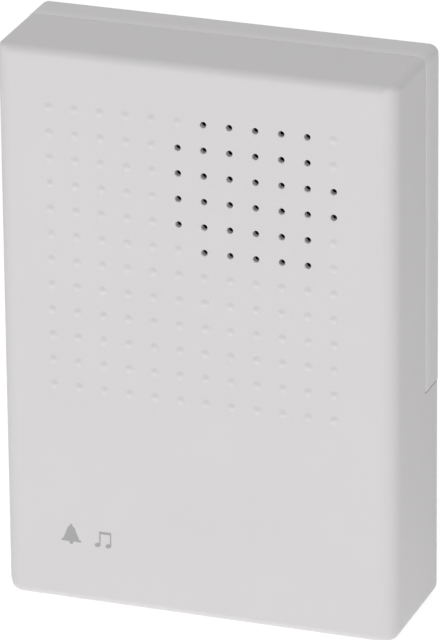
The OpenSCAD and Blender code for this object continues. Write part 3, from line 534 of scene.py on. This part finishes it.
coat(jacket("upper_cell_jacket", 1), "upper_cell")
coat(jacket("lower_cell_jacket", -1), "lower_cell")
coat(nickel_plate, "positive_contact", "negative_contact", "series_link")
for name, side, z, stood_for in (("negative_coil", 1, lower_z, "negative_spring"),
                                 ("link_coil", -1, upper_z, "series_spring")):
    points = []
    for k in range(spring_turns * turn_steps + 1):
        share = k / (spring_turns * turn_steps)
        reach = spring_wide + (spring_narrow - spring_wide) * share
        angle = 2 * pi * k / turn_steps
        foot = tray_in_x - contact_t - spring_wire / 2 - (spring_l - spring_wire) * share
        points.append((side * foot, cell_y - side * reach * cos(angle), z + reach * sin(angle)))
    finish_off(round_wire(name, points, spring_wire), nickel_plate, "case", "nickel_plate", stood_for)

# Battery door: a flat panel of the cover's white ABS that closes the cell bay, set into the cover's back.
# Four tongues guide it straight on from behind, two ribs press on the cells, and three ridges in a
# sunk grip give the thumb a hold.
door_x, door_z0, tongue_y = in_x - move_gap, move_gap - in_z, -12.7
press_x, press_w, press_h, press_in = 14, 2, 0.6, 1
grip_w, grip_h, grip_d, grip_z = 26, 8, 0.8, seam_low - 12
ridge_t, ridge_step, ridge_in, ridge_edge_r = 0.8, 2, 0.2, 0.25
ridge_y = -grip_d + ridge_t / 2
tip_r, grip_corner_r, root_y, margin = 0.3, 1.5, -1, 1

door = block((-door_x, back_in_y, door_z0), (door_x, 0, seam_low), "battery_door_body")
round_off(door, rear_corner_r, lambda a, b: along_y(a, b) and a.z < door_z0 + margin, steps=6)
round_off(door, small_edge_r, on_back, steps=2)
for x in (-1, 1):
    for z in (door_z0, top_tongue_z):
        tongue = block((x * tongue_x - tongue_w / 2, tongue_y, z),
                       (x * tongue_x + tongue_w / 2, root_y, z + tongue_t))
        round_off(tongue, tip_r, lambda a, b: max(a.y, b.y) < tongue_y + loose, steps=3)
        add(door, tongue)
    add(door, block((x * press_x - press_w / 2, back_in_y - press_h, tray_z0 + press_in),
                    (x * press_x + press_w / 2, root_y, tray_z1 - press_in)))
recess = block((-grip_w / 2, -grip_d, grip_z - grip_h / 2), (grip_w / 2, over, grip_z + grip_h / 2))
round_off(recess, grip_corner_r, along_y, steps=6)
cut(door, recess)
for k in (-1, 0, 1):
    ridge = block((-grip_w / 2 - ridge_in, -grip_d - ridge_in, grip_z + k * ridge_step - ridge_t / 2),
                  (grip_w / 2 + ridge_in, ridge_y, grip_z + k * ridge_step + ridge_t / 2))
    round_off(ridge, ridge_edge_r, lambda a, b: min(a.y, b.y) > ridge_y - loose
              and abs(a.x - b.x) > long_edge, steps=3)
    add(door, ridge)
round_off(door, small_edge_r, lambda a, b: on_back(a, b) and max(a.z, b.z) < seam_low - margin
          and max(abs(a.x), abs(b.x)) < grip_w / 2 + margin and min(a.z, b.z) > door_z0 + 2 * margin, steps=2)
finish_off(door, white_abs, "door", "white_abs", "battery_door")

# Case screws: four cross-head screws of zinc-plated steel that hold the two halves together.
# They go in from behind, through the rear shell's sunk holes, into the bosses of the front cover.
coat(zinc_steel, "case_screws")

# Printed mark: a bell and two notes in a thin film of mid-grey ink, low on the left of the front.
# They are pad-printed on the finished cover.
ink_t, ink_in, mark_z = 0.02, 0.05, -36.9
ink_y, ink_foot = front_y - ink_t, front_y + ink_in
bell_x, bell_w, bell_top_w, bell_h = -22.6, 2.9, 1.5, 1.7
brim_w, brim_h, brim_in, clapper_d, clapper_drop = 3.5, 0.36, 0.02, 0.72, 0.12
knob_d, knob_up, crown_sides = 0.5, 0.1, 40
brim_r = brim_h / 2.2
note_head_w, note_head_h, note_stem_h, note_stem_w, note_gap, notes_x = 1.05, 0.78, 2.5, 0.22, 1.9, -17.6
beam_h, stem_in, note_tilt = 0.45, 0.1, -20
ink = grained("grey_ink", (0.42, 0.42, 0.425, 1), 0.5, grain=2800, depth=0.002, spread=0.03, shine=0.25)


def ink_bar(x0, x1, z0, z1):
    """Straight patch of the ink film, in millimetres."""
    return block((x0, ink_y, z0), (x1, ink_foot, z1))


bell = ink_bar(bell_x - bell_w / 2, bell_x + bell_w / 2, mark_z - bell_h / 2, mark_z + bell_h / 2)
pick(bell, "FACE", lambda face: face.normal.z > facing)
bpy.ops.transform.resize(value=(bell_top_w / bell_w, 1, 1))
bpy.ops.object.mode_set(mode="OBJECT")
bell_top, bell_low = mark_z + bell_h / 2, mark_z - bell_h / 2
add(bell, rod(bell_x, bell_top, bell_top_w, ink_y, ink_foot, crown_sides))
add(bell, rod(bell_x, bell_top + bell_top_w / 2 + knob_up, knob_d, ink_y, ink_foot, dot_sides))
brim = ink_bar(bell_x - brim_w / 2, bell_x + brim_w / 2, bell_low - brim_h, bell_low + brim_in)
round_off(brim, brim_r, along_y)
add(bell, brim, rod(bell_x, bell_low - brim_h - clapper_drop, clapper_d, ink_y, ink_foot, hole_sides))
bell.name = "printed_bell"
finish_off(bell, ink, "case", "white_abs")

note_low = bell_low - brim_h
note_top = note_low + note_stem_h
notes = ink_bar(notes_x, notes_x + note_gap + note_stem_w, note_top - beam_h, note_top)
for k in (0, 1):
    stem_x = notes_x + k * note_gap
    add(notes, ink_bar(stem_x, stem_x + note_stem_w, note_low + stem_in, note_top - stem_in))
    head = rod(0, 0, 1, ink_y, ink_foot, hole_sides)
    head.data.transform(Matrix.Translation((mm * (stem_x + note_stem_w - note_head_w / 2), 0, mm * note_low))
                        @ Matrix.Rotation(radians(note_tilt), 4, "Y")
                        @ Matrix.Diagonal((note_head_w, 1, note_head_h, 1)))
    add(notes, head)
notes.name = "printed_notes"
finish_off(notes, ink, "case", "white_abs")

# Studio: a plain white table in a white surround that darkens to the sides, with one broad soft lamp in
# front. The table gives more light in front of the box than behind it. Table and surround show as white,
# and the table keeps the soft shadow.
surround_level, surround_flank, lamp_power = 1.055, -1, 2.3
table_tone, table_front, table_back, table_seen = 0.8, 0.56, 0.07, 0.52
table_w, pool_near, pool_far = 6, -0.03, 0.06
lamp_at, lamp_w = (0, -1.45, 0.1), 0.9
table_z = mm * -half_h
world = bpy.data.worlds.new("surround")
bpy.context.scene.world = world
world.use_nodes = True


def seen_white(tree):
    """1 for what is seen, straight, in a mirror or through glass, 0 for the light on the object."""
    path = tree.nodes.new("ShaderNodeLightPath")
    seen = path.outputs["Is Camera Ray"]
    for kind in ("Is Glossy Ray", "Is Transmission Ray"):
        either = tree.nodes.new("ShaderNodeMath")
        either.operation = "MAXIMUM"
        tree.links.new(seen, either.inputs[0])
        tree.links.new(path.outputs[kind], either.inputs[1])
        seen = either.outputs[0]
    return seen


def world_node(kind, *sources, **settings):
    """Adds a node to the surround; each source is a socket or a value."""
    new = world.node_tree.nodes.new(kind)
    for key, value in settings.items():
        setattr(new, key, value)
    for place, source in zip(new.inputs, sources):
        if isinstance(source, bpy.types.NodeSocket):
            world.node_tree.links.new(source, place)
        else:
            place.default_value = source
    return new


toward = world_node("ShaderNodeTexCoord").outputs["Generated"]
across = world_node("ShaderNodeSeparateXYZ", toward).outputs["X"]
flank = world_node("ShaderNodeMath", across, operation="ABSOLUTE").outputs[0]
soft = world_node("ShaderNodeMath", flank, surround_flank, surround_level,
                  operation="MULTIPLY_ADD").outputs[0]
level = world_node("ShaderNodeMapRange", seen_white(world.node_tree), 0, 1, soft, 1)
world.node_tree.links.new(level.outputs["Result"], world.node_tree.nodes["Background"].inputs["Strength"])
world.node_tree.nodes["Background"].inputs["Color"].default_value = (1, 1, 1, 1)

bpy.ops.object.select_all(action="DESELECT")
bpy.ops.mesh.primitive_plane_add(size=table_w, location=(0, 0, table_z))
table = named("table")
table_white, shader, node, link = surface("table_white", (table_tone, table_tone, table_tone, 1), 0.9)
shader.inputs["Emission Color"].default_value = (1, 1, 1, 1)
apart = node("ShaderNodeSeparateXYZ", [("Vector", node("ShaderNodeTexCoord").outputs["Object"])])
pool = node("ShaderNodeMapRange", [("Value", apart.outputs["Y"])], interpolation_type="SMOOTHSTEP")
for place, value in zip(("From Min", "From Max", "To Min", "To Max"),
                        (pool_near, pool_far, table_front, table_back)):
    pool.inputs[place].default_value = value
glow = node("ShaderNodeMapRange", [("Value", seen_white(table_white.node_tree)),
                                   ("To Min", pool.outputs["Result"])])
glow.inputs["To Max"].default_value = table_seen
link(glow.outputs["Result"], shader.inputs["Emission Strength"])
table.data.materials.append(table_white)

bpy.ops.object.select_all(action="DESELECT")
bpy.ops.object.light_add(type="AREA", location=lamp_at)
lamp = bpy.context.object
lamp.name = "front_lamp"
lamp.data.shape = "DISK"
lamp.data.size = lamp_w
lamp.data.energy = lamp_power
lamp.rotation_euler = (Vector((0, 0, 0)) - lamp.location).to_track_quat("-Z", "Y").to_euler()

# Camera: a long lens a little above the box and to its right, as the box was photographed.
# The picture is 440 by 640, and the box stands a little left of and below its middle.
azimuth, elevation, roll = radians(20.14), radians(22.6), radians(-0.6)
distance, lens, aim_right, aim_up = 1.1018, 378.45, 3.96, 4.36
outward = Vector((sin(azimuth) * cos(elevation), -cos(azimuth) * cos(elevation), sin(elevation)))
right = Vector((cos(azimuth), sin(azimuth), 0))
up = outward.cross(right)
front_middle = Vector((0, mm * front_y, 0))
aim = front_middle + mm * (aim_right * right + aim_up * up)
bpy.ops.object.camera_add(location=front_middle + distance * outward)
camera = bpy.context.object
camera.data.lens = lens
camera.data.sensor_width = 36
camera.data.clip_start = 0.05
turn = (aim - camera.location).to_track_quat("-Z", "Y").to_matrix() @ Matrix.Rotation(roll, 3, "Z")
camera.rotation_euler = turn.to_euler()
bpy.context.scene.camera = camera
bpy.context.scene.view_settings.view_transform = "Standard"
